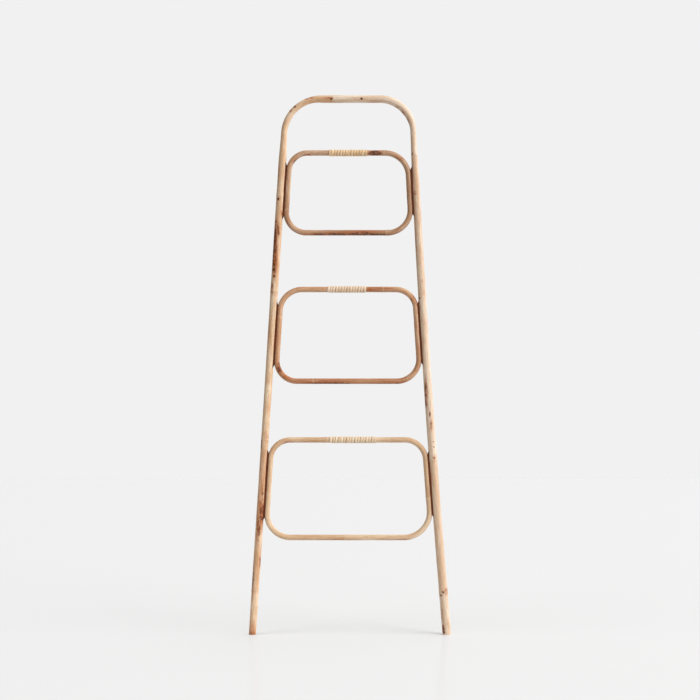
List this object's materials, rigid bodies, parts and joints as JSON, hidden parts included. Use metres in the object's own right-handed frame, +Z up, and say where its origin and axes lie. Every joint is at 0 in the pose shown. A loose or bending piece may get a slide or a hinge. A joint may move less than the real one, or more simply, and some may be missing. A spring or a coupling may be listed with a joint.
{
  "type": "rattan ladder rack",
  "caption": "Leaning ladder rack of bent rattan: splayed legs join in a rounded top bar, with rounded cane hoops bound in peel between them to hang quilts or towels.",
  "frame": {"origin": "on the floor, midway between the outer edges of the two feet", "axes": "+Z up the rack, +X to the right seen from the front, +Y to the back, towards the wall it leans on"},
  "size_m": [0.62, 0.0268, 1.65],
  "materials": {
    "left_frame_cane": "clear matt lacquer over honey brown rattan skin",
    "right_frame_cane": "clear matt lacquer over pinkish tan rattan skin",
    "top_hoop_cane": "clear matt lacquer over brown stained rattan skin",
    "middle_hoop_cane": "clear matt lacquer over mottled tan rattan skin",
    "bottom_hoop_cane": "clear matt lacquer over pale tan rattan skin",
    "binding_peel": "satin straw-coloured cane peel",
    "filler_strip": "dark brown stain",
    "nails": "darkened steel wire",
    "screws": "yellow passivated steel"
  },
  "bodies": {
    "root": {"frame_cane_left": "left_frame_cane", "frame_cane_right": "right_frame_cane", "frame_scarf_nails": "nails", "hoop_top_cane": "top_hoop_cane", "hoop_top_binding": "binding_peel", "hoop_top_scarf_nails": "nails", "hoop_top_binding_brads": "nails", "hoop_top_filler_left": "filler_strip", "hoop_top_screws_left": "screws", "hoop_top_filler_right": "filler_strip", "hoop_top_screws_right": "screws", "hoop_middle_cane": "middle_hoop_cane", "hoop_middle_binding": "binding_peel", "hoop_middle_scarf_nails": "nails", "hoop_middle_binding_brads": "nails", "hoop_middle_filler_left": "filler_strip", "hoop_middle_screws_left": "screws", "hoop_middle_filler_right": "filler_strip", "hoop_middle_screws_right": "screws", "hoop_bottom_cane": "bottom_hoop_cane", "hoop_bottom_binding": "binding_peel", "hoop_bottom_scarf_nails": "nails", "hoop_bottom_binding_brads": "nails", "hoop_bottom_filler_left": "filler_strip", "hoop_bottom_screws_left": "screws", "hoop_bottom_filler_right": "filler_strip", "hoop_bottom_screws_right": "screws"}
  },
  "joints": []
}
